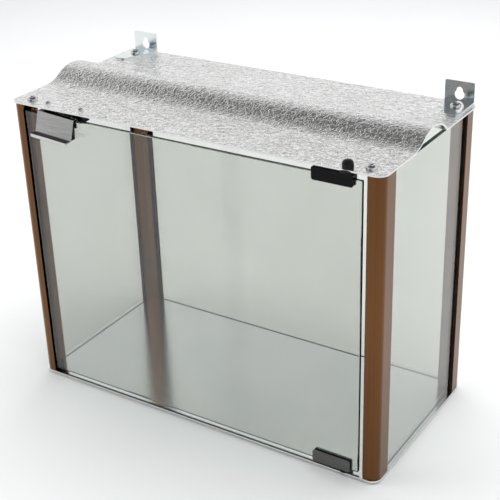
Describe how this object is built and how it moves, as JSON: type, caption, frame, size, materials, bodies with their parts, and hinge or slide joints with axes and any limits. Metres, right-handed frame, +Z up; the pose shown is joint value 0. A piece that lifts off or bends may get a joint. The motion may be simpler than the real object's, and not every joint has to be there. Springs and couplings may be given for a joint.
{
  "type": "wall mounted glass display case",
  "caption": "Wall-hung glass case with bronze corner posts, embossed metal roof with a vent arch, and a frameless glass door on pivot clips.",
  "frame": {"origin": "midway between the round mouths of the two wall keyholes, on the wall plane", "axes": "+X to the right seen from the front, +Y into the wall, +Z up"},
  "size_m": [0.4, 0.2065, 0.3263],
  "materials": {
    "embossed_aluminium": "stucco embossed mill finish",
    "satin_aluminium": "satin",
    "bronze_anodised": "satin bronze anodised",
    "clear_glass": "polished float glass",
    "black_rubber": "matte",
    "zinc_steel": "blue zinc plated",
    "chrome_screw": "bright plated",
    "black_clip": "gloss black",
    "grey_clip": "satin dark grey",
    "pin_steel": "turned",
    "black_plastic": "moulded",
    "ferrite": "ground",
    "polished_steel": "polished, lightly hairlined"
  },
  "bodies": {
    "case": {"top_plate": "embossed_aluminium", "bottom_plate": "satin_aluminium", "front_left_post": "bronze_anodised", "front_right_post": "bronze_anodised", "rear_left_post": "bronze_anodised", "rear_right_post": "bronze_anodised", "left_glass": "clear_glass", "right_glass": "clear_glass", "back_glass": "clear_glass", "left_glass_gaskets": "black_rubber", "right_glass_gaskets": "black_rubber", "back_glass_gaskets": "black_rubber", "wall_bracket_left": "zinc_steel", "wall_bracket_right": "zinc_steel", "top_corner_screws": "chrome_screw", "bottom_corner_screws": "chrome_screw", "hinge_cap": "black_plastic", "hinge_top_bush": "black_plastic", "hinge_bottom_bush": "black_plastic", "catch_housing": "black_plastic", "catch_magnet": "ferrite", "catch_pole_plates": "pin_steel", "catch_screws": "chrome_screw", "door_bumper": "black_rubber"},
    "door": {"door_glass": "clear_glass", "hinge_top_clip": "black_clip", "hinge_bottom_clip": "grey_clip", "hinge_clip_pads": "black_rubber", "hinge_clamp_screws": "chrome_screw", "hinge_top_pin": "pin_steel", "hinge_bottom_pin": "pin_steel", "handle_clip": "polished_steel", "handle_clip_liner": "black_plastic"}
  },
  "joints": [
    {"name": "door_swing", "type": "hinge", "parent": "case", "child": "door", "pos_m": [0.165, -0.1905, -0.155], "axis": [0, 0, 1], "range_deg": [0, 150]}
  ]
}
